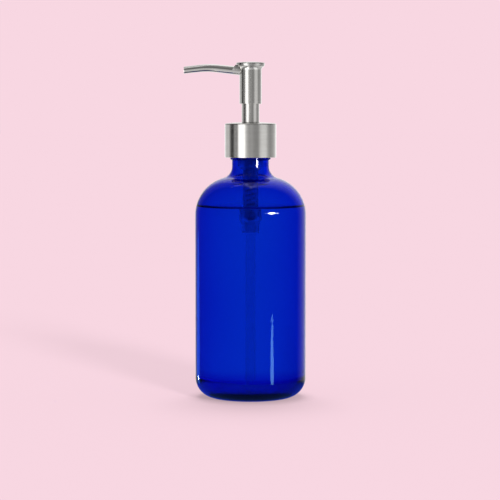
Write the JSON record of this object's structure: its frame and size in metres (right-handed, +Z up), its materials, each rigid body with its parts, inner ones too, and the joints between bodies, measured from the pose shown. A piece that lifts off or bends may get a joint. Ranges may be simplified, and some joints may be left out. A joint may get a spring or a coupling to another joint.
{
  "type": "pump dispenser bottle",
  "caption": "Round-shouldered blue glass bottle with a screw-on steel lotion pump: the head presses down on a sprung piston and swivels, and the collar unscrews from the neck.",
  "frame": {"origin": "on the bottle's axis, in the plane of the ring that it rests on", "axes": "+Z up along the bottle's axis, the spout points towards -X at rest"},
  "size_m": [0.0825, 0.075, 0.2272],
  "materials": {
    "blue_glass": "clear cobalt blue, fire polished",
    "liquid_soap": "clear liquid",
    "gasket_foam": "matt closed-cell foam",
    "natural_plastic": "moulded, milky",
    "tube_plastic": "extruded, milky",
    "white_plastic": "moulded, satin",
    "seal_plastic": "moulded, waxy",
    "brushed_steel": "finely brushed, almost polished",
    "spring_steel": "drawn wire, bright",
    "ball_steel": "ground and polished"
  },
  "bodies": {
    "vessel": {"bottle": "blue_glass", "soap_fill": "liquid_soap"},
    "pump_body": {"gasket": "gasket_foam", "pump_housing": "natural_plastic", "spring_seat": "natural_plastic", "return_spring": "spring_steel", "dip_tube": "tube_plastic", "stem_guide": "white_plastic", "neck_sleeve": "brushed_steel"},
    "collar": {"closure_insert": "white_plastic", "collar_shell": "brushed_steel"},
    "inlet_valve": {"inlet_ball": "ball_steel"},
    "piston": {"piston_seal": "seal_plastic"},
    "head": {"stem": "white_plastic", "piston_retainer": "white_plastic", "head_core": "white_plastic", "head_guide_ring": "white_plastic", "head_shell": "brushed_steel", "head_cap": "brushed_steel", "spout_tube": "brushed_steel", "spout_liner": "tube_plastic", "spout_saddle": "brushed_steel"},
    "outlet_valve": {"outlet_ball": "ball_steel"}
  },
  "joints": [
    {"name": "pump_lift", "type": "slide", "parent": "vessel", "child": "pump_body", "axis": [0, 0, 1], "range_m": [0, 0.00424]},
    {"name": "collar_turn", "type": "hinge", "parent": "pump_body", "child": "collar", "pos_m": [0, 0, 0.165], "axis": [0, 0, 1], "range_deg": [0, 360]},
    {"name": "inlet_valve_lift", "type": "slide", "parent": "pump_body", "child": "inlet_valve", "axis": [0, 0, 1], "range_m": [0, 0.0015]},
    {"name": "pump_stroke", "type": "slide", "parent": "pump_body", "child": "piston", "axis": [0, 0, 1], "range_m": [-0.0115, 0], "stiffness_N_per_m": 300, "springref_m": 0.006, "deforming": ["return_spring"]},
    {"name": "head_swivel", "type": "hinge", "parent": "piston", "child": "head", "pos_m": [0, 0, 0.2], "axis": [0, 0, 1], "continuous": true},
    {"name": "outlet_valve_lift", "type": "slide", "parent": "head", "child": "outlet_valve", "axis": [0, 0, 1], "range_m": [0, 0.0012]}
  ],
  "couplings": [
    {"joint": "pump_lift", "follows": "collar_turn", "m_per_rad": 0.00067375}
  ]
}
